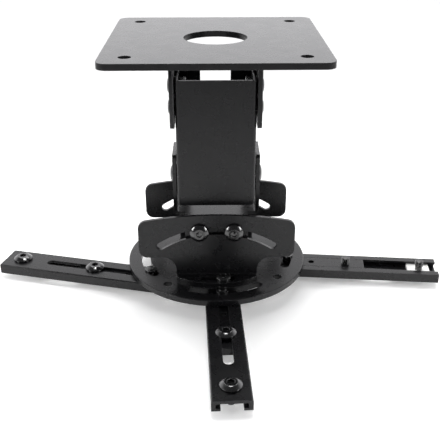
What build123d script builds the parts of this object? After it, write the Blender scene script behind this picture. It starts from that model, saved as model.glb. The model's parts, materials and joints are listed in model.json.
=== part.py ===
from build123d import *
import math
import os

os.makedirs("parts", exist_ok=True)

# Frame: origin at the centre of the ceiling plate's top face, +Z up, front is -Y. Sizes in mm.
# Heights follow each other down from the plate, plan sizes outward from the column and the fans.

QUARTER_DEG = 90.0

# Threads, holes and fits
M5_R = 2.5
M6_R = 3.0
THREAD_GAP = 0.05
TURN_GAP = 0.06
HOLE_GAP = 0.3
THREAD_PAST_NUT = 1.0
TIP_CHAMFER = 0.4

# Heads, nuts and washers
M5_SOCKET = 3.2
M6_SOCKET = 4.0
M5_NUT_FLATS = 8.0
M5_NUT_T = 4.0
M6_NUT_FLATS = 10.0
M6_NUT_T = 5.0
SIDE_HEAD_R = 6.2
SIDE_HEAD_H = 2.0
SIDE_WASHER_R = 6.0
TILT_HEAD_R = 6.8
TILT_HEAD_H = 2.2
ROLL_HEAD_R = 5.2
ROLL_HEAD_H = 2.75
ROLL_WASHER_R = 6.2
ROLL_WASHER_T = 0.8
LOCK_HEAD_R = 5.3
LOCK_HEAD_H = 3.3
LOCK_TIP_INSET = 0.3
SWIVEL_HEAD_R = 5.8
SWIVEL_HEAD_H = 2.75
SWIVEL_NUT_T = 4.0
ARM_HEAD_R = 6.8
ARM_HEAD_H = 3.3
PIVOT_HEAD_R = 5.2
PIVOT_HEAD_H = 3.0
PIVOT_PROUD = 2.0
PIVOT_CLIP_R = 4.4
PIVOT_CLIP_T = 1.2
# Domed head: shares of its radius and height from the rim up to the flat crown
HEAD_PROFILE = ((1.0, 0.25), (0.93, 0.6), (0.78, 0.87), (0.5, 1.0))
SOCKET_DEPTH_SHARE = 0.6

# Ceiling plate
PLATE = 140.0
PLATE_T = 4.0
PLATE_CORNER_R = 7.0
SCREW_INSET = 16.0
SCREW_HOLE_R = 4.0
CABLE_HOLE_R = 21.0

# Column, a channel open to the rear
COL_W = 54.0
COL_D = 40.0
COL_T = 2.0
COL_L = 88.65
COL_DROP = 19.7
COL_TOP = -PLATE_T - COL_DROP
COL_BOTTOM = COL_TOP - COL_L
COL_BEND_R = 2.5
COL_END_R = 3.0
COL_LIP = 7.5
COL_BOLT_INSET = 8.3
COL_BOLT_PITCH = 15.0
COL_BOLT_Z = (COL_TOP - COL_BOLT_INSET, COL_TOP - COL_BOLT_INSET - COL_BOLT_PITCH)

# Ear brackets that hold the column under the plate
SIDE_GAP = 0.7
EAR_T = 3.0
EAR_IN = COL_W / 2 + SIDE_GAP
EAR_BELOW_BOLT = 9.4
EAR_BOTTOM = COL_BOLT_Z[1] - EAR_BELOW_BOLT
EAR_PAST_FRONT = 0.5
EAR_REAR_GAP = 0.5
EAR_FRONT = -COL_D / 2 - EAR_PAST_FRONT
EAR_REAR = COL_D / 2 + EAR_REAR_GAP + EAR_T
EAR_CORNER_R = 2.0
EAR_BEND_R = 3.5
EAR_FLANGE_W = 20.0
EAR_FLANGE_LAP = 13.0
EAR_FLANGE_BOTTOM = COL_TOP - EAR_FLANGE_LAP

# Tilt yoke: its base clears the column's lower edge up to the largest tilt
TILT_ABOVE_END = 16.35
TILT_MAX_DEG = 25.0
TILT_CLEAR = 0.27
TILT_Z = COL_BOTTOM + TILT_ABOVE_END
COL_EDGE_R = math.hypot(COL_D / 2, TILT_ABOVE_END)
COL_EDGE_DEG = math.degrees(math.atan2(COL_D / 2, TILT_ABOVE_END))
COL_EDGE_REACH = COL_EDGE_R * math.cos(math.radians(max(COL_EDGE_DEG - TILT_MAX_DEG, 0.0)))
YOKE_T = 2.6
YOKE_EAR_GAP = 20.9
YOKE_TOP = EAR_BOTTOM - YOKE_EAR_GAP
YOKE_BASE_TOP = TILT_Z - COL_EDGE_REACH - TILT_CLEAR
YOKE_HALF_D = 15.0
YOKE_BEND_R = 4.0
YOKE_CORNER_R = 2.0
TONGUE_W = 44.0
TONGUE_BEND_R = 3.0
TONGUE_CORNER_R = 5.0
FLANGE_BELOW_BOLT = 11.0

# Roll bracket: two fans on a base, guided by bolts on an arc about ROLL_Z
ROLL_R = 72.0
ROLL_BOLT_X = 12.0
ROLL_BOLT_DROP = 7.4
ROLL_BOLT_Z = YOKE_BASE_TOP - ROLL_BOLT_DROP
ROLL_Z = ROLL_BOLT_Z - math.sqrt(ROLL_R ** 2 - ROLL_BOLT_X ** 2)
ROLL_SLOT_HALF_DEG = 33.0
FLANGE_BOTTOM = ROLL_BOLT_Z - FLANGE_BELOW_BOLT
FAN_IN = 31.0
FAN_T = 2.5
FAN_OUT = FAN_IN + FAN_T
FAN_W = 109.0
FAN_ABOVE_BOLT = 13.0
FAN_CROWN = ROLL_BOLT_Z + FAN_ABOVE_BOLT
FAN_CROWN_R = 290.0
FAN_WING_H = 32.5
FAN_WING_BOTTOM = FAN_CROWN - FAN_WING_H
FAN_CORNER_R = 6.0
NECK_W = 57.0
NECK_H = 16.0
NECK_FILLET_R = 10.0
LOCK_FROM_FAN = 7.4
LOCK_EDGE = 6.0
LOCK_R = FAN_OUT + LOCK_FROM_FAN
LOCK_SLOT_HALF_DEG = 14.0
BASE_R = LOCK_R + LOCK_EDGE
BASE_T = 2.5
FOOT_BEND_R = 0.6

# Arm disc: its slots run just outside the roll bracket's base
DISC_T = 4.5
DISC_TOP = FAN_WING_BOTTOM - NECK_H
DISC_BOTTOM = DISC_TOP - DISC_T
FOOT_TOP = DISC_TOP + BASE_T
DISC_TURN = 6.5
DISC_EDGE = 0.4
DISC_SLOTS = 4
CLIP_CLEAR = 1.7
ARM_SLOT_R = BASE_R + PIVOT_CLIP_R + CLIP_CLEAR
ARM_SLOT_W = 6.6
ARM_SLOT_SPAN_DEG = 52.0
DISC_RIM = 12.5
DISC_R = ARM_SLOT_R + DISC_RIM
DISC_HOLE_R = 3.25
DISC_HOLE_OUT = 2.0

# Arms: local +X runs outward from the pivot, local Z is zero at mid height
ARM_W = 24.0
ARM_H = 7.0
ARM_L = 134.0
ARM_WEB = 2.0
ARM_WALL = 2.6
ARM_LIP = 5.4
ARM_LIP_T = 1.6
ARM_EDGE_R = 1.0
SLOT_W = 6.6
SLOT_FROM_END = 33.0
SLOT_FROM_INNER = 8.0
END_HOLE_FROM_END = 13.0
BAR_FRONT = 57.5
BAR_BACK = 9.0
BAR_SIDE_GAP = 0.4
BAR_TOP_GAP = 0.3
BAR_CLAMP_X = 44.0
BAR_SPARE_X = 18.5
BAR_SPARE_R = 2.2
RETAINER_L = 16.0
RETAINER_T = 2.5
RETAINER_CORNER_R = 2.0
STUD_PROUD = 4.8
WAIST_R = 2.5
WAIST_PAST_ARM = 0.6
LEFT_TAIL = 18.6
FRONT_TAIL = 25.2
RIGHT_TAIL = 22.9
ARM_Z = DISC_BOTTOM - ARM_H / 2

# name, place of the pivot round the disc and heading in degrees, tail inside the pivot, web faces down
ARMS = (
    ("left", -154.05, 165.4, LEFT_TAIL, False),
    ("front", -86.05, -87.9, FRONT_TAIL, False),
    ("right", -3.35, -5.85, RIGHT_TAIL, True),
)


def box(x0, x1, y0, y1, z0, z1):
    """Axis-aligned block between two corners."""
    return Pos((x0 + x1) / 2, (y0 + y1) / 2, (z0 + z1) / 2) * Box(x1 - x0, y1 - y0, z1 - z0)


def polar(radius, degrees):
    """Plan point at an angle round the local Z axis."""
    return (radius * math.cos(math.radians(degrees)), radius * math.sin(math.radians(degrees)))


def arc_slot(radius, width, centre_deg, span_deg, depth):
    """Obround cutter bent round the local Z axis, span measured between its end centres."""
    a0 = centre_deg - span_deg / 2
    a1 = centre_deg + span_deg / 2
    inner = radius - width / 2
    outer = radius + width / 2
    ring = make_face([
        ThreePointArc(polar(inner, a0), polar(inner, centre_deg), polar(inner, a1)),
        Line(polar(inner, a1), polar(outer, a1)),
        ThreePointArc(polar(outer, a1), polar(outer, centre_deg), polar(outer, a0)),
        Line(polar(outer, a0), polar(inner, a0)),
    ])
    solid = extrude(ring, depth / 2, both=True)
    for angle in (a0, a1):
        solid += Pos(*polar(radius, angle), 0) * Cylinder(width / 2, depth)
    return solid


def button_bolt(thread_r, length, head_r, head_h, socket, waist=0.0):
    """Domed head standing on local z = 0, its shank running down, thinner over the waist's length."""
    shank = [(0, -length), (thread_r - TIP_CHAMFER, -length), (thread_r, -length + TIP_CHAMFER)]
    if waist > 0:
        shank += [(thread_r, -waist), (WAIST_R, -waist), (WAIST_R, 0)]
    else:
        shank += [(thread_r, 0)]
    dome = [(head_r * across, head_h * up) for across, up in HEAD_PROFILE]
    profile = make_face(Polyline(*shank, (head_r, 0), *dome, (0, head_h), close=True))
    solid = revolve(Plane.XZ * profile, Axis.Z)
    depth = head_h * SOCKET_DEPTH_SHARE
    recess = extrude(RegularPolygon(socket / 2, 6, major_radius=False), depth)
    return solid - Pos(0, 0, head_h - depth) * recess


def hex_nut(flats, thickness, bore_r):
    """Hexagon nut standing on local z = 0, two of its flats facing local Y."""
    return extrude(RegularPolygon(flats / 2, 6, major_radius=False, rotation=30)
                   - Circle(bore_r), thickness)


def washer(outer_r, bore_r, thickness):
    return extrude(Circle(outer_r) - Circle(bore_r), thickness)


def side_place(x, y, z, sign):
    """Location whose local +Z points outward along X on the given side."""
    return Location(Plane(origin=(sign * x, y, z), x_dir=(0, 1, 0), z_dir=(sign, 0, 0)))


def face_place(x, y, z, sign):
    """Location whose local +Z points outward along Y on the given side."""
    return Location(Plane(origin=(x, sign * y, z), x_dir=(1, 0, 0), z_dir=(0, sign, 0)))


def save(name, pieces):
    shape = pieces[0] if len(pieces) == 1 else Compound(children=list(pieces))
    shape.label = name
    export_step(shape, os.path.join("parts", name + ".step"))


def ceiling_plate():
    pitch = PLATE - 2 * SCREW_INSET
    sheet = RectangleRounded(PLATE, PLATE, PLATE_CORNER_R) - Circle(CABLE_HOLE_R)
    sheet -= GridLocations(pitch, pitch, 2, 2) * Circle(SCREW_HOLE_R)
    return Pos(0, 0, -PLATE_T) * extrude(sheet, PLATE_T)


def ear_bracket(sign):
    """Blade beside the column with a short flange turned in behind it, both up to the plate."""
    out = EAR_IN + EAR_T
    blade = box(EAR_IN, out, EAR_FRONT, EAR_REAR, EAR_BOTTOM, -PLATE_T)
    flange = box(out - EAR_FLANGE_W, out, EAR_REAR - EAR_T, EAR_REAR, EAR_FLANGE_BOTTOM, -PLATE_T)
    piece = blade + flange
    bend = piece.edges().filter_by(Axis.Z).group_by(Axis.X)[-1].sort_by(Axis.Y)[-1]
    piece = fillet(bend, EAR_BEND_R)
    low = [e for e in piece.edges().filter_by(Axis.X).group_by(Axis.Z)[0] if e.center().Y < 0]
    piece = fillet(low, EAR_CORNER_R)
    for z in COL_BOLT_Z:
        piece -= Pos(EAR_IN + EAR_T / 2, 0, z) * Rot(0, 90, 0) * Cylinder(M6_R + HOLE_GAP, 2 * EAR_T)
    return piece if sign > 0 else mirror(piece, Plane.YZ)


def column_channel():
    skin = RectangleRounded(COL_W, COL_D, COL_BEND_R)
    hollow = RectangleRounded(COL_W - 2 * COL_T, COL_D - 2 * COL_T, COL_BEND_R - COL_T)
    mouth = Pos(0, COL_D / 2) * Rectangle(COL_W - 2 * COL_LIP, COL_D)
    piece = Pos(0, 0, COL_BOTTOM) * extrude(skin - hollow - mouth, COL_L)
    outline = Pos(0, 0, (COL_TOP + COL_BOTTOM) / 2) * Rot(90, 0, 0)
    piece &= outline * extrude(RectangleRounded(COL_W, COL_L, COL_END_R), COL_D, both=True)
    for z in (*COL_BOLT_Z, TILT_Z):
        piece -= Pos(0, 0, z) * Rot(0, 90, 0) * Cylinder(M6_R + THREAD_GAP, 2 * COL_W)
    return piece


def tilt_yoke():
    """Strap bent up both sides of the column, with a tongue bent down inside each fan."""
    out = EAR_IN + YOKE_T
    half_d = YOKE_HALF_D
    base_low = YOKE_BASE_TOP - YOKE_T
    strap = box(-out, out, -half_d, half_d, base_low, YOKE_TOP)
    strap = fillet(strap.edges().filter_by(Axis.Y).group_by(Axis.Z)[0], YOKE_BEND_R)
    room = box(-EAR_IN, EAR_IN, -half_d, half_d, YOKE_BASE_TOP, YOKE_TOP + YOKE_T)
    room = fillet(room.edges().filter_by(Axis.Y).group_by(Axis.Z)[0], YOKE_BEND_R - YOKE_T)
    strap -= room
    strap = fillet(strap.edges().filter_by(Axis.X).group_by(Axis.Z)[-1], YOKE_CORNER_R)
    half_w = TONGUE_W / 2
    tongue = box(-half_w, half_w, -FAN_IN, FAN_IN, FLANGE_BOTTOM, YOKE_BASE_TOP)
    tongue = fillet(tongue.edges().filter_by(Axis.X).group_by(Axis.Z)[-1], TONGUE_BEND_R)
    tongue -= box(-half_w, half_w, YOKE_T - FAN_IN, FAN_IN - YOKE_T, FLANGE_BOTTOM, base_low)
    tongue = fillet(tongue.edges().filter_by(Axis.Y).group_by(Axis.Z)[0], TONGUE_CORNER_R)
    piece = strap + tongue
    piece -= Pos(0, 0, TILT_Z) * Rot(0, 90, 0) * Cylinder(M6_R + TURN_GAP, 3 * out)
    for x in (-ROLL_BOLT_X, ROLL_BOLT_X):
        piece -= Pos(x, 0, ROLL_BOLT_Z) * Rot(90, 0, 0) * Cylinder(M5_R + HOLE_GAP, 3 * FAN_IN)
    return piece


def fan_outline():
    """Upright sheet in local X and Y, local Y being height: wings, crowned top and narrower neck."""
    wings = Pos(0, (FAN_CROWN + FAN_WING_BOTTOM) / 2) * Rectangle(FAN_W, FAN_WING_H)
    wings &= Pos(0, FAN_CROWN - FAN_CROWN_R) * Circle(FAN_CROWN_R)
    wings = fillet(wings.vertices(), FAN_CORNER_R)
    neck_top = (FAN_CROWN + FAN_WING_BOTTOM) / 2
    sheet = wings + Pos(0, (neck_top + DISC_TOP) / 2) * Rectangle(NECK_W, neck_top - DISC_TOP)
    inner = [v for v in sheet.vertices()
             if abs(abs(v.X) - NECK_W / 2) < 0.01 and abs(v.Y - FAN_WING_BOTTOM) < 0.01]
    return fillet(inner, NECK_FILLET_R)


def roll_bracket():
    slot_w = 2 * (M5_R + HOLE_GAP)
    slot = Pos(0, ROLL_Z, 0) * arc_slot(ROLL_R, slot_w, QUARTER_DEG, 2 * ROLL_SLOT_HALF_DEG, 3 * FAN_T)
    fan = extrude(fan_outline(), FAN_T / 2, both=True) - slot
    base = Circle(BASE_R) & Rectangle(NECK_W, 2 * BASE_R)
    piece = Pos(0, 0, DISC_TOP) * extrude(base, BASE_T)
    for sign in (-1, 1):
        piece += Pos(0, sign * (FAN_IN + FAN_T / 2), 0) * Rot(90, 0, 0) * fan
    bends = [e for e in piece.edges().filter_by(Axis.X)
             if abs(e.center().Z - FOOT_TOP) < 0.01 and abs(abs(e.center().Y) - FAN_OUT) < 0.01]
    piece = fillet(bends, FOOT_BEND_R)
    for centre in (-QUARTER_DEG, QUARTER_DEG):
        piece -= Pos(0, 0, FOOT_TOP) * arc_slot(LOCK_R, slot_w, centre, 2 * LOCK_SLOT_HALF_DEG, 4 * BASE_T)
    return piece - Pos(0, 0, FOOT_TOP) * Cylinder(M6_R + TURN_GAP, 4 * BASE_T)


def lock_points():
    return [polar(LOCK_R, DISC_TURN + side) for side in (-QUARTER_DEG, QUARTER_DEG)]


def arm_disc():
    piece = Pos(0, 0, DISC_BOTTOM) * extrude(Circle(DISC_R) - Circle(M6_R + THREAD_GAP), DISC_T)
    rims = [e for e in piece.edges().filter_by(GeomType.CIRCLE) if e.radius > DISC_R / 2]
    piece = chamfer(rims, DISC_EDGE)
    step = 360 / DISC_SLOTS
    cut = 3 * DISC_T
    for k in range(DISC_SLOTS):
        turn = step * k + DISC_TURN
        piece -= Pos(0, 0, DISC_TOP) * arc_slot(ARM_SLOT_R, ARM_SLOT_W, turn, ARM_SLOT_SPAN_DEG, cut)
        hole = polar(ARM_SLOT_R + DISC_HOLE_OUT, turn + step / 2)
        piece -= Pos(*hole, DISC_TOP) * Cylinder(DISC_HOLE_R, cut)
    for x, y in lock_points():
        piece -= Pos(x, y, DISC_TOP) * Cylinder(M5_R + THREAD_GAP, cut)
    return piece


def outer_arm(tail):
    """Lipped channel, web up, its inner end at local x = -tail."""
    reach = ARM_L - tail
    half_w = ARM_W / 2
    half_h = ARM_H / 2
    piece = box(-tail, reach, -half_w, half_w, -half_h, half_h)
    piece = fillet(piece.edges().filter_by(Axis.X).group_by(Axis.Z)[-1], ARM_EDGE_R)
    piece -= box(-tail, reach, ARM_WALL - half_w, half_w - ARM_WALL, ARM_LIP_T - half_h, half_h - ARM_WEB)
    piece -= box(-tail, reach, ARM_LIP - half_w, half_w - ARM_LIP, -half_h, ARM_LIP_T - half_h)
    slot_out = reach - SLOT_FROM_END
    slot_in = SLOT_FROM_INNER - tail
    piece -= Pos((slot_out + slot_in) / 2, 0, 0) * extrude(SlotOverall(slot_out - slot_in, SLOT_W), ARM_H)
    return piece - Pos(reach - END_HOLE_FROM_END, 0, half_h) * Cylinder(M6_R + THREAD_GAP, 3 * ARM_WEB)


def inner_bar():
    """Tee-section bar, flat side up under the channel's web, its rib flush with the lips."""
    half_h = ARM_H / 2
    wide = ARM_W / 2 - ARM_WALL - BAR_SIDE_GAP
    rib = ARM_W / 2 - ARM_LIP - BAR_SIDE_GAP
    step = ARM_LIP_T - half_h + BAR_TOP_GAP
    piece = box(-BAR_BACK, BAR_FRONT, -wide, wide, step, half_h - ARM_WEB)
    piece += box(-BAR_BACK, BAR_FRONT, -rib, rib, -half_h, step)
    for x, radius in ((0, M6_R + THREAD_GAP), (BAR_SPARE_X, BAR_SPARE_R), (BAR_CLAMP_X, M6_R + THREAD_GAP)):
        piece -= Pos(x, 0, 0) * Cylinder(radius, 3 * ARM_H)
    return piece


def end_hole(tail):
    return ARM_L - tail - END_HOLE_FROM_END


def retainer(tail):
    """Plate inside the channel, round the projector screw's waist, that keeps it from dropping out."""
    width = ARM_W - 2 * (ARM_WALL + BAR_SIDE_GAP)
    sheet = RectangleRounded(RETAINER_L, width, RETAINER_CORNER_R) - Circle(WAIST_R + THREAD_GAP)
    return Pos(end_hole(tail), 0, ARM_H / 2 - ARM_WEB - RETAINER_T) * extrude(sheet, RETAINER_T)


def arm_screw(x, waist=0.0):
    bolt = button_bolt(M6_R, ARM_H + STUD_PROUD, ARM_HEAD_R, ARM_HEAD_H, M6_SOCKET, waist)
    return Pos(x, 0, ARM_H / 2) * bolt


def pivot_bolt():
    """Comes up through the bar, the channel's slot and the disc; never flipped with the arm."""
    length = ARM_H + DISC_T + PIVOT_PROUD
    bolt = button_bolt(M6_R, length, PIVOT_HEAD_R, PIVOT_HEAD_H, M6_SOCKET)
    return Pos(0, 0, -ARM_H / 2) * Rot(180, 0, 0) * bolt


def pivot_clip():
    return Pos(0, 0, ARM_H / 2 + DISC_T) * washer(PIVOT_CLIP_R, M6_R + THREAD_GAP, PIVOT_CLIP_T)


save("ceiling_plate", [ceiling_plate()])
save("ear_bracket_left", [ear_bracket(-1)])
save("ear_bracket_right", [ear_bracket(1)])
save("column_channel", [column_channel()])
save("tilt_yoke", [tilt_yoke()])
save("roll_bracket", [roll_bracket()])
save("arm_disc", [arm_disc()])

side_grip = SIDE_GAP + COL_T + M6_NUT_T + THREAD_PAST_NUT
side_bolt = button_bolt(M6_R, EAR_T + side_grip, SIDE_HEAD_R, SIDE_HEAD_H, M6_SOCKET)
tilt_bolt = button_bolt(M6_R, YOKE_T + side_grip, TILT_HEAD_R, TILT_HEAD_H, M6_SOCKET)
side_nut = hex_nut(M6_NUT_FLATS, M6_NUT_T, M6_R + THREAD_GAP)
side_washer = washer(SIDE_WASHER_R, M6_R + THREAD_GAP, SIDE_GAP)
nut_x = COL_W / 2 - COL_T - M6_NUT_T
column_spots = [(z, s) for z in COL_BOLT_Z for s in (-1, 1)]
tilt_spots = [(TILT_Z, s) for s in (-1, 1)]
save("column_bolts", [side_place(EAR_IN + EAR_T, 0, z, s) * side_bolt for z, s in column_spots])
save("tilt_bolts", [side_place(EAR_IN + YOKE_T, 0, z, s) * tilt_bolt for z, s in tilt_spots])
for name, spots in (("column", column_spots), ("tilt", tilt_spots)):
    save(name + "_nuts", [side_place(nut_x, 0, z, s) * side_nut for z, s in spots])
    save(name + "_washers", [side_place(COL_W / 2, 0, z, s) * side_washer for z, s in spots])

roll_grip = ROLL_WASHER_T + FAN_T + YOKE_T + M5_NUT_T + THREAD_PAST_NUT
roll_bolt = button_bolt(M5_R, roll_grip, ROLL_HEAD_R, ROLL_HEAD_H, M5_SOCKET)
roll_nut = hex_nut(M5_NUT_FLATS, M5_NUT_T, M5_R + THREAD_GAP)
roll_washer = washer(ROLL_WASHER_R, M5_R + THREAD_GAP, ROLL_WASHER_T)
for name, piece, y in (
    ("roll_bolts", roll_bolt, FAN_OUT + ROLL_WASHER_T),
    ("roll_nuts", roll_nut, FAN_IN - YOKE_T - M5_NUT_T),
    ("roll_washers", roll_washer, FAN_OUT),
):
    save(name, [face_place(x, y, ROLL_BOLT_Z, s) * piece
                for x in (-ROLL_BOLT_X, ROLL_BOLT_X) for s in (-1, 1)])

lock_bolt = button_bolt(M5_R, BASE_T + DISC_T - LOCK_TIP_INSET, LOCK_HEAD_R, LOCK_HEAD_H, M5_SOCKET)
swivel_grip = BASE_T + DISC_T + SWIVEL_NUT_T + THREAD_PAST_NUT
swivel_bolt = button_bolt(M6_R, swivel_grip, SWIVEL_HEAD_R, SWIVEL_HEAD_H, M6_SOCKET)
swivel_nut = hex_nut(M6_NUT_FLATS, SWIVEL_NUT_T, M6_R + THREAD_GAP)
save("lock_bolts", [Pos(x, y, FOOT_TOP) * lock_bolt for x, y in lock_points()])
save("swivel_bolt", [Pos(0, 0, FOOT_TOP) * swivel_bolt])
save("swivel_nut", [Pos(0, 0, DISC_BOTTOM - SWIVEL_NUT_T) * swivel_nut])

for name, azimuth, heading, tail, flipped in ARMS:
    place = Pos(*polar(ARM_SLOT_R, azimuth), ARM_Z) * Rot(0, 0, heading)
    lay = place * Rot(180, 0, 0) if flipped else place
    save("outer_arm_" + name, [lay * outer_arm(tail)])
    save("inner_bar_" + name, [lay * inner_bar()])
    save("clamp_screw_" + name, [lay * arm_screw(BAR_CLAMP_X)])
    save("projector_screw_" + name, [lay * arm_screw(end_hole(tail), ARM_H + WAIST_PAST_ARM)])
    save("screw_retainer_" + name, [lay * retainer(tail)])
    save("pivot_bolt_" + name, [place * pivot_bolt()])
    save("pivot_clip_" + name, [place * pivot_clip()])
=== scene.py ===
import json
import math

import bmesh
import bpy
from mathutils import Matrix, Vector

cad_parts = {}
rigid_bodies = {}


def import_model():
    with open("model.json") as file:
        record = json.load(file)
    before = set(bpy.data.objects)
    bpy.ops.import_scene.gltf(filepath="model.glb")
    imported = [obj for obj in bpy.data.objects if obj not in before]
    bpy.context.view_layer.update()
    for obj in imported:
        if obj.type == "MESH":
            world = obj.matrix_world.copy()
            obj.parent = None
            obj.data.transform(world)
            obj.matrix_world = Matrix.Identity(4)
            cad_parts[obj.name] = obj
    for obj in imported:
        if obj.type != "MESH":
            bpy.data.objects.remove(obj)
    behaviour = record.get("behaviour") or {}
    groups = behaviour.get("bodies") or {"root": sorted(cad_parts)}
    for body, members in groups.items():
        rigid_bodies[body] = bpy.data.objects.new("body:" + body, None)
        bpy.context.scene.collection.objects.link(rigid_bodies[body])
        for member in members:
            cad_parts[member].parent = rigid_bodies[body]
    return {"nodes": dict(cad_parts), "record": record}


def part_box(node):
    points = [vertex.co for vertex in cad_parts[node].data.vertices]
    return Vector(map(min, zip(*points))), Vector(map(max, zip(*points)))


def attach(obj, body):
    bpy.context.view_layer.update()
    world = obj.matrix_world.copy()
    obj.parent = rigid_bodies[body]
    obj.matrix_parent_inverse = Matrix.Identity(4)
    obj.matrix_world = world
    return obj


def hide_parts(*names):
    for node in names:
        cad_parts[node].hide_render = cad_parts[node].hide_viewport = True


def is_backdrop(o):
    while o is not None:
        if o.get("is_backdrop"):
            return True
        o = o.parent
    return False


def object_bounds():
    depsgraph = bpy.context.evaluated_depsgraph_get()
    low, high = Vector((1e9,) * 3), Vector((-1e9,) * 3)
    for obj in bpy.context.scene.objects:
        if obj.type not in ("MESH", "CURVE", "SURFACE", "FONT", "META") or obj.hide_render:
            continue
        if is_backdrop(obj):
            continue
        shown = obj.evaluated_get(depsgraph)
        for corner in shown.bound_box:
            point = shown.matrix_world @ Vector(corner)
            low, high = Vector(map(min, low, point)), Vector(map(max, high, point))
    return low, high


for leftover in list(bpy.data.objects):
    bpy.data.objects.remove(leftover)

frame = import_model()
cad_low, cad_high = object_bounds()
nodes = frame["nodes"]
record = frame["record"]

MM = 0.001
# Points of a CAD mesh closer than this are one point
WELD = 1e-6

# Camera read from the plate's corners in a 440 x 440 image
IMAGE_PX = 440
FOCAL_PX = 719.385
SENSOR_MM = 36.0
CAM_PITCH_DEG = 26.191
CAM_YAW_DEG = -0.6469
CAM_ROLL_DEG = -0.1382
CAM_AT = (-0.002637, -0.477052, 0.100877)
CAM_NEAR = 0.01
CAM_FAR = 50.0

# Colour sockets of a mix node, which share their names with its other sockets
MIX_FIRST = 6
MIX_SECOND = 7
MIX_RESULT = 2


def new_material(name):
    """Node material with a shader joined to its output, its tree and that shader."""
    mat = bpy.data.materials.new(name)
    mat.use_nodes = True
    tree = mat.node_tree
    tree.nodes.clear()
    shader = tree.nodes.new("ShaderNodeBsdfPrincipled")
    out = tree.nodes.new("ShaderNodeOutputMaterial")
    tree.links.new(shader.outputs["BSDF"], out.inputs["Surface"])
    return mat, tree, shader


def object_coords(tree):
    return tree.nodes.new("ShaderNodeTexCoord").outputs["Object"]


def noise(tree, coords, scale, detail=2.0):
    node = tree.nodes.new("ShaderNodeTexNoise")
    node.inputs["Scale"].default_value = scale
    node.inputs["Detail"].default_value = detail
    tree.links.new(coords, node.inputs["Vector"])
    return node.outputs["Fac"]


def ramp(tree, factor, stops):
    """Colour ramp through (position, colour) stops."""
    node = tree.nodes.new("ShaderNodeValToRGB")
    band = node.color_ramp
    while len(band.elements) < len(stops):
        band.elements.new(0.5)
    for element, (place, colour) in zip(band.elements, stops):
        element.position = place
        element.color = (*colour, 1.0)
    tree.links.new(factor, node.inputs["Fac"])
    return node.outputs["Color"]


def spread(tree, value, low, high, from_low=0.3, from_high=0.7):
    """Map a value, by default a noise's usual range, onto another range."""
    node = tree.nodes.new("ShaderNodeMapRange")
    node.inputs["From Min"].default_value = from_low
    node.inputs["From Max"].default_value = from_high
    node.inputs["To Min"].default_value = low
    node.inputs["To Max"].default_value = high
    tree.links.new(value, node.inputs["Value"])
    return node.outputs["Result"]


def rounded_normal(tree, radius):
    """Normal that runs round sharp edges."""
    node = tree.nodes.new("ShaderNodeBevel")
    node.samples = 4
    node.inputs["Radius"].default_value = radius
    return node.outputs["Normal"]


def grain(tree, coords, texture, below=None):
    """Normal disturbed by a noise of (scale, depth, strength), on top of another normal if one is given."""
    scale, depth, strength = texture
    node = tree.nodes.new("ShaderNodeBump")
    node.inputs["Distance"].default_value = depth
    node.inputs["Strength"].default_value = strength
    tree.links.new(noise(tree, coords, scale), node.inputs["Height"])
    if below is not None:
        tree.links.new(below, node.inputs["Normal"])
    return node.outputs["Normal"]


CLOUD_DETAIL = 3.0
CLOUD_ENDS = (0.35, 0.65)


def clouded(name, scale, dark, light, sheen):
    """Material whose colour and roughness drift with one soft noise, and the values to build on it."""
    mat, tree, shader = new_material(name)
    at = object_coords(tree)
    cloud = noise(tree, at, scale, CLOUD_DETAIL)
    colour = ramp(tree, cloud, tuple(zip(CLOUD_ENDS, (dark, light))))
    tree.links.new(colour, shader.inputs["Base Color"])
    tree.links.new(spread(tree, cloud, *sheen), shader.inputs["Roughness"])
    return mat, tree, shader, at, colour


# Edge wear and painted edge highlight, one paler colour along sharp edges: how far the rounded normal has
# turned, as a cosine, where it is full and where it ends
WEAR_AND_HIGHLIGHT_R = 0.6 * MM
WEAR_AND_HIGHLIGHT_TURN = (0.8, 0.985)
WEAR_AND_HIGHLIGHT_PATCH_SCALE = 420.0
WEAR_AND_HIGHLIGHT_PATCH = (0.25, 1.0)


def wear_and_highlight_mask(tree, coords):
    """Patchy value that is high along sharp outer edges: the mask of edge wear and a painted edge highlight.
    """
    flat = tree.nodes.new("ShaderNodeNewGeometry").outputs["True Normal"]
    bend = tree.nodes.new("ShaderNodeVectorMath")
    bend.operation = "DOT_PRODUCT"
    tree.links.new(rounded_normal(tree, WEAR_AND_HIGHLIGHT_R), bend.inputs[0])
    tree.links.new(flat, bend.inputs[1])
    edge = spread(tree, bend.outputs["Value"], 1.0, 0.0, *WEAR_AND_HIGHLIGHT_TURN)
    patch = spread(tree, noise(tree, coords, WEAR_AND_HIGHLIGHT_PATCH_SCALE, CLOUD_DETAIL), *WEAR_AND_HIGHLIGHT_PATCH)
    both = tree.nodes.new("ShaderNodeMath")
    both.operation = "MULTIPLY"
    tree.links.new(edge, both.inputs[0])
    tree.links.new(patch, both.inputs[1])
    return both.outputs["Value"]


def blended(tree, factor, colour, other):
    """Colour that turns into another as the factor goes to one."""
    node = tree.nodes.new("ShaderNodeMix")
    node.data_type = "RGBA"
    tree.links.new(factor, node.inputs["Factor"])
    tree.links.new(colour, node.inputs[MIX_FIRST])
    node.inputs[MIX_SECOND].default_value = (*other, 1.0)
    return node.outputs[MIX_RESULT]


COAT_CLOUD = 90.0
COAT_DARK = (0.0048, 0.0048, 0.0054)
COAT_LIGHT = (0.0062, 0.0062, 0.0069)
# Paler edge colour: partly wear, partly a painted edge highlight
COAT_WEAR_AND_HIGHLIGHT = (0.045, 0.045, 0.048)
COAT_SHEEN = (0.26, 0.29)
COAT_IOR = 1.4
COAT_EDGE_R = 0.45 * MM
COAT_PEEL = (900.0, 0.06 * MM, 0.2)
COAT_GRIT = (3200.0, 0.02 * MM, 0.1)


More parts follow.
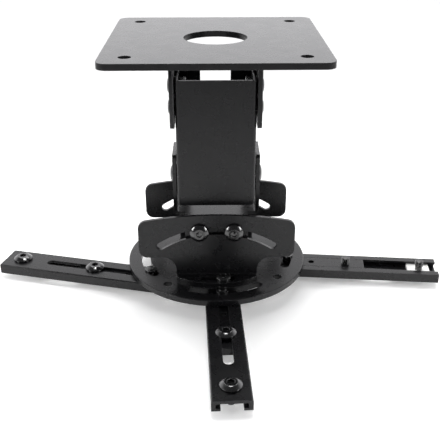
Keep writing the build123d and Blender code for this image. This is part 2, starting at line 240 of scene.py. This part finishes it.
def powder_coat():
    """Semi-gloss black powder coat: orange peel, fine grit, an uneven sheen and paler edges that are partly
    wear and partly a painted highlight.
    """
    mat, tree, shader, at, colour = clouded("powder_coat", COAT_CLOUD, COAT_DARK, COAT_LIGHT, COAT_SHEEN)
    # Paler colour along the edges: partly edge wear, partly a painted edge highlight
    worn_and_highlit = blended(tree, wear_and_highlight_mask(tree, at), colour, COAT_WEAR_AND_HIGHLIGHT)
    tree.links.new(worn_and_highlit, shader.inputs["Base Color"])
    shader.inputs["IOR"].default_value = COAT_IOR
    peel = grain(tree, at, COAT_PEEL, rounded_normal(tree, COAT_EDGE_R))
    tree.links.new(grain(tree, at, COAT_GRIT, peel), shader.inputs["Normal"])
    return mat


OXIDE_CLOUD = 240.0
OXIDE_DARK = (0.004, 0.004, 0.0043)
OXIDE_LIGHT = (0.007, 0.007, 0.0075)
OXIDE_SHEEN = (0.13, 0.2)
OXIDE_IOR = 1.8
OXIDE_EDGE_R = 0.15 * MM
OXIDE_GRAIN = (2600.0, 0.02 * MM, 0.15)


def black_oxide():
    """Glossy dark screws: black oxide with a fine grain and oily patches."""
    mat, tree, shader, at, _ = clouded("black_oxide", OXIDE_CLOUD, OXIDE_DARK, OXIDE_LIGHT, OXIDE_SHEEN)
    shader.inputs["IOR"].default_value = OXIDE_IOR
    normal = grain(tree, at, OXIDE_GRAIN, rounded_normal(tree, OXIDE_EDGE_R))
    tree.links.new(normal, shader.inputs["Normal"])
    return mat


NYLON_CLOUD = 160.0
NYLON_DARK = (0.80, 0.80, 0.78)
NYLON_LIGHT = (0.88, 0.88, 0.87)
NYLON_SHEEN = (0.42, 0.55)
NYLON_GRAIN = (2200.0, 0.04 * MM, 0.3)


def white_nylon():
    """Moulded white plastic with a soft surface grain."""
    mat, tree, shader, at, _ = clouded("white_nylon", NYLON_CLOUD, NYLON_DARK, NYLON_LIGHT, NYLON_SHEEN)
    tree.links.new(grain(tree, at, NYLON_GRAIN), shader.inputs["Normal"])
    return mat


MATERIALS = {
    "black_steel": powder_coat(),
    "black_bolt": black_oxide(),
    "white_plastic": white_nylon(),
}
for row in record["subparts"]:
    for place in nodes[row["node"]].material_slots:
        place.material = MATERIALS[row["material_slot"]]


# Thread radius and pitch
M5 = (2.5 * MM, 0.8 * MM)
M6 = (3.0 * MM, 1.0 * MM)
# Sockets across flats
M6_SOCKET = 4.4 * MM
ROLL_SOCKET = 4.0 * MM
LOCK_SOCKET = 3.6 * MM
ARM_HEAD_H = 3.3 * MM
PIVOT_HEAD_H = 3.0 * MM
PROJECTOR_WAIST = 7.6 * MM
WAIST_R = 2.5 * MM
# Screws by node: way the head faces, thread radius and pitch, head height, socket, length of plain waist
SCREWS = {
    "column_bolts": ("side", *M6, 2.0 * MM, M6_SOCKET, 0.0),
    "tilt_bolts": ("side", *M6, 2.2 * MM, M6_SOCKET, 0.0),
    "roll_bolts": ("face", *M5, 2.75 * MM, ROLL_SOCKET, 0.0),
    "lock_bolts": ("up", *M5, 3.3 * MM, LOCK_SOCKET, 0.0),
    "swivel_bolt": ("up", *M6, 2.75 * MM, M6_SOCKET, 0.0),
}
ARM_HEADS = {"left": "up", "front": "up", "right": "down"}
for arm, way in ARM_HEADS.items():
    SCREWS["clamp_screw_" + arm] = (way, *M6, ARM_HEAD_H, M6_SOCKET, 0.0)
    SCREWS["projector_screw_" + arm] = (way, *M6, ARM_HEAD_H, M6_SOCKET, PROJECTOR_WAIST)
    SCREWS["pivot_bolt_" + arm] = ("down", *M6, PIVOT_HEAD_H, M6_SOCKET, 0.0)
# Heads that are drawn wider than the solid's
LEAST_HEAD_R = {"roll_bolts": 6.4 * MM}
# Nuts by node: way the outer face looks, bore
NUTS = {
    "column_nuts": ("side", M6[0]),
    "tilt_nuts": ("side", M6[0]),
    "roll_nuts": ("face", M5[0]),
    "swivel_nut": ("up", M6[0]),
}

ROUND = 40
THREAD_STEPS = 6
THREAD_DEPTH_SHARE = 0.6
# Share of a half turn that is flat at the thread's crest, and again at its root
THREAD_FLAT = 0.1
TIP_CHAMFER = 0.45 * MM
HEAD_UNDER_SHARE = 0.97
HEAD_RIM_SHARE = 0.06
DOME_STEPS = 9
DOME_EDGE_TILT = math.radians(44.0)
DOME_CROWN_TILT = math.radians(24.0)
DOME_MOST_SHARE = 0.8
# Ring just inside the crown, which keeps the crown's shading flat
CROWN_FLAT_SHARE = 0.96
SOCKET_DEPTH_SHARE = 0.6
SOCKET_EDGE = 0.2 * MM
SOCKET_POINT_SHARE = 0.2
SOCKET_POINT_DEPTH = 0.3 * MM
NUT_FACE_SHARE = 0.48
NUT_CHAMFER_SLOPE = 0.55
NUT_CHAMFER_STEPS = 4
SHARP_EDGE = math.radians(38.0)


def solid_boxes(node):
    """Lowest and highest corner of each separate solid in a node."""
    work = bmesh.new()
    work.from_mesh(node.data)
    bmesh.ops.remove_doubles(work, verts=work.verts, dist=WELD)
    waiting = set(work.verts)
    boxes = []
    while waiting:
        front = [waiting.pop()]
        points = []
        while front:
            vert = front.pop()
            points.append(vert.co.copy())
            near = {edge.other_vert(vert) for edge in vert.link_edges} & waiting
            waiting -= near
            front.extend(near)
        low = Vector([min(point[i] for point in points) for i in range(3)])
        high = Vector([max(point[i] for point in points) for i in range(3)])
        boxes.append((low, high))
    work.free()
    return boxes


def standing(low, high, way):
    """Placement with local +Z along a way and local zero at that end of a box, its length and radius."""
    middle = (low + high) / 2
    if way == "side":
        direction = Vector((math.copysign(1.0, middle.x), 0, 0))
    elif way == "face":
        direction = Vector((0, math.copysign(1.0, middle.y), 0))
    else:
        direction = Vector((0, 0, 1.0 if way == "up" else -1.0))
    spans = high - low
    along = max(range(3), key=lambda i: abs(direction[i]))
    across = max(spans[i] for i in range(3) if i != along)
    end = middle + direction * spans[along] / 2
    turn = direction.to_track_quat("Z", "Y").to_matrix().to_4x4()
    return Matrix.Translation(end) @ turn, spans[along], across / 2


def level(value):
    """The same value at every angle."""
    return lambda angle: value


def hexagon(flats):
    """Radius of a hexagon across flats, by angle."""
    return lambda angle: flats / 2 / math.cos((angle + math.pi / 6) % (math.pi / 3) - math.pi / 6)


def thread(height, tip, thread_r, pitch):
    """Radius of a helical thread at a height, by angle, with a chamfer at its tip."""

    def radius(angle):
        phase = (height / pitch - angle / (2 * math.pi)) % 1.0
        rise = (abs(2 * phase - 1) - THREAD_FLAT) / (1 - 2 * THREAD_FLAT)
        depth = min(max(rise, 0.0), 1.0) * pitch * THREAD_DEPTH_SHARE
        return min(thread_r - depth, thread_r - TIP_CHAMFER + height - tip)

    return radius


def skin(work, lower, upper):
    """Faces between two loops of points."""
    for i in range(ROUND):
        j = (i + 1) % ROUND
        work.faces.new((lower[i], lower[j], upper[j], upper[i]))


def lathe(work, matrix, rings):
    """Skin through rings of (radius by angle, height), open at both ends, and its loops of points."""
    angles = [2 * math.pi * i / ROUND for i in range(ROUND)]
    loops = []
    for radius, height in rings:
        points = [(radius(a) * math.cos(a), radius(a) * math.sin(a), height) for a in angles]
        loops.append([work.verts.new(matrix @ Vector(point)) for point in points])
    for lower, upper in zip(loops, loops[1:]):
        skin(work, lower, upper)
    return loops


def screw(work, matrix, length, head_r, thread_r, pitch, head_h, socket, waist):
    """Button head with a hexagon socket and a helical thread, its crown at local zero."""
    under = -head_h
    tip = -length
    start = under - waist
    steps = int((start - tip) / pitch * THREAD_STEPS)
    heights = [tip + (start - tip) * step / steps for step in range(steps + 1)]
    rings = [(thread(height, tip, thread_r, pitch), height) for height in heights]
    if waist > 0:
        rings += [(level(WAIST_R), start), (level(WAIST_R), under)]
    rings += [
        (level(head_r * HEAD_UNDER_SHARE), under),
        (level(head_r), under + head_h * HEAD_RIM_SHARE),
    ]
    ball_r = head_r / math.sin(DOME_EDGE_TILT)
    dome_h = ball_r * (math.cos(DOME_CROWN_TILT) - math.cos(DOME_EDGE_TILT))
    squeeze = min(1.0, head_h * DOME_MOST_SHARE / dome_h)
    for step in range(DOME_STEPS + 1):
        tilt = DOME_EDGE_TILT + (DOME_CROWN_TILT - DOME_EDGE_TILT) * step / DOME_STEPS
        drop = ball_r * (math.cos(DOME_CROWN_TILT) - math.cos(tilt)) * squeeze
        rings.append((level(ball_r * math.sin(tilt)), -drop))
    bottom = -head_h * SOCKET_DEPTH_SHARE
    crown_r = ball_r * math.sin(DOME_CROWN_TILT)
    rings += [
        (level(crown_r * CROWN_FLAT_SHARE), 0.0),
        (hexagon(socket + 2 * SOCKET_EDGE), 0.0),
        (hexagon(socket), -SOCKET_EDGE),
        (hexagon(socket), bottom),
        (level(socket * SOCKET_POINT_SHARE), bottom - SOCKET_POINT_DEPTH),
    ]
    loops = lathe(work, matrix, rings)
    work.faces.new(list(reversed(loops[0])))
    work.faces.new(loops[-1])


def nut(work, matrix, thickness, corner_r, bore_r):
    """Hexagon nut with both ends chamfered, its outer face at local zero."""
    flats = corner_r * math.sqrt(3)
    face_r = flats * NUT_FACE_SHARE
    chamfer = (corner_r - face_r) * NUT_CHAMFER_SLOPE
    side = hexagon(flats)
    shares = [step / NUT_CHAMFER_STEPS for step in range(NUT_CHAMFER_STEPS + 1)]

    def trimmed(share):
        limit = face_r + (corner_r - face_r) * share
        return lambda angle: min(side(angle), limit)

    rings = [(level(bore_r), -thickness)]
    rings += [(trimmed(share), -thickness + chamfer * share) for share in shares]
    rings += [(trimmed(share), -chamfer * share) for share in reversed(shares)]
    rings += [(level(bore_r), 0.0)]
    loops = lathe(work, matrix, rings)
    skin(work, loops[-1], loops[0])


BODY_OF = {node: body for body, names in record["behaviour"]["bodies"].items() for node in names}


def stand_for(name, work, material_slot):
    """Piece made from a bmesh that takes a node's place."""
    mesh = bpy.data.meshes.new(name + "_detail")
    bmesh.ops.recalc_face_normals(work, faces=work.faces)
    work.to_mesh(mesh)
    work.free()
    mesh.polygons.foreach_set("use_smooth", [True] * len(mesh.polygons))
    mesh.set_sharp_from_angle(angle=SHARP_EDGE)
    mesh.materials.append(MATERIALS[material_slot])
    piece = bpy.data.objects.new(name + "_detail", mesh)
    bpy.context.scene.collection.objects.link(piece)
    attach(piece, BODY_OF[name])
    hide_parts(name)


for name, (way, thread_r, pitch, head_h, socket, waist) in SCREWS.items():
    work = bmesh.new()
    for low, high in solid_boxes(nodes[name]):
        matrix, length, head_r = standing(low, high, way)
        head_r = max(head_r, LEAST_HEAD_R.get(name, 0.0))
        screw(work, matrix, length, head_r, thread_r, pitch, head_h, socket, waist)
    stand_for(name, work, "black_bolt")

for name, (way, bore_r) in NUTS.items():
    work = bmesh.new()
    for low, high in solid_boxes(nodes[name]):
        matrix, thickness, corner_r = standing(low, high, way)
        nut(work, matrix, thickness, corner_r, bore_r)
    stand_for(name, work, "black_bolt")


# Rear flange of each ear stops short of the plate, which leaves the cable hole clear
FLANGE_TOP = -25.0 * MM
EAR_INNER_X = 27.3 * MM


def notched_ear(name):
    """Ear bracket with the part of its flange nearest the plate cut away."""
    work = bmesh.new()
    work.from_mesh(nodes[name].data)
    bmesh.ops.remove_doubles(work, verts=work.verts, dist=WELD)
    low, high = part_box(name)
    side = math.copysign(1.0, low.x + high.x)
    for place, facing in (((side * EAR_INNER_X, 0, 0), (1, 0, 0)), ((0, 0, FLANGE_TOP), (0, 0, 1))):
        everything = list(work.verts) + list(work.edges) + list(work.faces)
        bmesh.ops.bisect_plane(work, geom=everything, plane_co=place, plane_no=facing)
    spare = []
    for face in work.faces:
        middle = face.calc_center_median()
        if abs(middle.x) < EAR_INNER_X and middle.z > FLANGE_TOP:
            spare.append(face)
    bmesh.ops.delete(work, geom=spare, context="FACES")
    for axis, value in ((0, side * EAR_INNER_X), (2, FLANGE_TOP)):
        rim = [edge for edge in work.edges if edge.is_boundary
               and all(abs(vert.co[axis] - value) < WELD for vert in edge.verts)]
        corners = {vert for edge in rim for vert in edge.verts}
        bmesh.ops.contextual_create(work, geom=list(corners))
    stand_for(name, work, "black_steel")


for name in ("ear_bracket_left", "ear_bracket_right"):
    notched_ear(name)


FLOOR_SIZE = 12.0
FLOOR_Z = cad_low.z
FLOOR_CLOUD = 6.0
FLOOR_STOPS = ((0.3, (0.88, 0.88, 0.88)), (0.7, (0.9, 0.9, 0.9)))
FLOOR_ROUGHNESS = 0.7
FLOOR_SPECULAR = 0.1
# Painted pool of light on the floor, which lifts the shadows near the mount: glow under the mount and away
# from it, and the distances between which it fades
PAINTED_LIGHT_NEAR = 0.26
PAINTED_LIGHT_FAR = 0.05
PAINTED_LIGHT_FADE = (0.19, 0.42)


def floor():
    mesh = bpy.data.meshes.new("floor")
    half = FLOOR_SIZE / 2
    corners = [(-half, -half, FLOOR_Z), (half, -half, FLOOR_Z), (half, half, FLOOR_Z), (-half, half, FLOOR_Z)]
    mesh.from_pydata(corners, [], [(0, 1, 2, 3)])
    plane = bpy.data.objects.new("floor", mesh)
    bpy.context.scene.collection.objects.link(plane)
    mat, tree, shader = new_material("floor_white")
    at = object_coords(tree)
    colour = ramp(tree, noise(tree, at, FLOOR_CLOUD), FLOOR_STOPS)
    tree.links.new(colour, shader.inputs["Base Color"])
    shader.inputs["Roughness"].default_value = FLOOR_ROUGHNESS
    shader.inputs["Specular IOR Level"].default_value = FLOOR_SPECULAR
    shader.inputs["Emission Color"].default_value = (1.0, 1.0, 1.0, 1.0)
    away = tree.nodes.new("ShaderNodeVectorMath")
    away.operation = "DISTANCE"
    tree.links.new(at, away.inputs[0])
    away.inputs[1].default_value = (0.0, 0.0, FLOOR_Z)
    # Floor glow fading with distance from the mount: a painted pool of light that lifts its shadows
    painted_light_pool = spread(tree, away.outputs["Value"], PAINTED_LIGHT_NEAR, PAINTED_LIGHT_FAR, *PAINTED_LIGHT_FADE)
    tree.links.new(painted_light_pool, shader.inputs["Emission Strength"])
    mesh.materials.append(mat)
    plane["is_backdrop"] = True


# Surround brightness against the sine of elevation, behind the mount and on the camera's side
REAR_STOPS = ((0.0, 1.9), (0.3, 1.8), (0.5, 1.42), (0.72, 0.3), (1.0, 0.12))
FRONT_STOPS = ((0.0, 0.1), (0.5, 0.1), (1.0, 0.12))
SKY_TINT = (0.985, 0.98, 1.0)
# Depth of a direction from which the front turns into the rear
SKY_FADE = (-0.35, 0.35)


def surround():
    world = bpy.data.worlds.new("studio")
    world.use_nodes = True
    tree = world.node_tree
    tree.nodes.clear()
    split = tree.nodes.new("ShaderNodeSeparateXYZ")
    tree.links.new(tree.nodes.new("ShaderNodeTexCoord").outputs["Generated"], split.inputs["Vector"])
    mix = tree.nodes.new("ShaderNodeMix")
    mix.data_type = "RGBA"
    tree.links.new(spread(tree, split.outputs["Y"], 0.0, 1.0, *SKY_FADE), mix.inputs["Factor"])
    for socket, stops in ((MIX_FIRST, FRONT_STOPS), (MIX_SECOND, REAR_STOPS)):
        tinted = [(place, [bright * part for part in SKY_TINT]) for place, bright in stops]
        tree.links.new(ramp(tree, split.outputs["Z"], tinted), mix.inputs[socket])
    back = tree.nodes.new("ShaderNodeBackground")
    tree.links.new(mix.outputs[MIX_RESULT], back.inputs["Color"])
    out = tree.nodes.new("ShaderNodeOutputWorld")
    tree.links.new(back.outputs["Background"], out.inputs["Surface"])
    bpy.context.scene.world = world


# Lights by name: place, aim, width, height, watts, spread in degrees
LIGHTS = {
    "overhead": ((0, 0, 0.66), (0, 0, -0.2), 0.28, 0.26, 1.0, 90.0),
    "backdrop": ((0, 1.1, 1.6), (0, 1.2, -0.2), 2.0, 0.9, 28.0, 180.0),
    "side_left": ((-0.88, -0.46, 0.27), (0, 0, -0.13), 0.24, 0.6, 0.66, 60.0),
    "side_right": ((0.88, -0.46, 0.27), (0, 0, -0.13), 0.24, 0.6, 0.66, 60.0),
}


def softbox(name, place, aim, wide, high, watts, spread_deg):
    data = bpy.data.lights.new(name, "AREA")
    data.shape = "RECTANGLE"
    data.size = wide
    data.size_y = high
    data.energy = watts
    data.spread = math.radians(spread_deg)
    lamp = bpy.data.objects.new(name, data)
    lamp.location = place
    lamp.rotation_euler = (Vector(aim) - Vector(place)).to_track_quat("-Z", "Y").to_euler()
    bpy.context.scene.collection.objects.link(lamp)


def camera():
    data = bpy.data.cameras.new("camera")
    data.sensor_fit = "HORIZONTAL"
    data.sensor_width = SENSOR_MM
    data.lens = FOCAL_PX / IMAGE_PX * SENSOR_MM
    data.clip_start = CAM_NEAR
    data.clip_end = CAM_FAR
    eye = bpy.data.objects.new("camera", data)
    turn = Matrix.Rotation(math.radians(CAM_YAW_DEG), 4, "Z")
    tip = Matrix.Rotation(math.radians(90.0 - CAM_PITCH_DEG), 4, "X")
    lean = Matrix.Rotation(math.radians(CAM_ROLL_DEG), 4, "Z")
    eye.matrix_world = Matrix.Translation(CAM_AT) @ turn @ tip @ lean
    bpy.context.scene.collection.objects.link(eye)
    bpy.context.scene.camera = eye


floor()
surround()
for name, light in LIGHTS.items():
    softbox(name, *light)
camera()
bpy.context.scene.view_settings.view_transform = "Standard"

low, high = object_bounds()
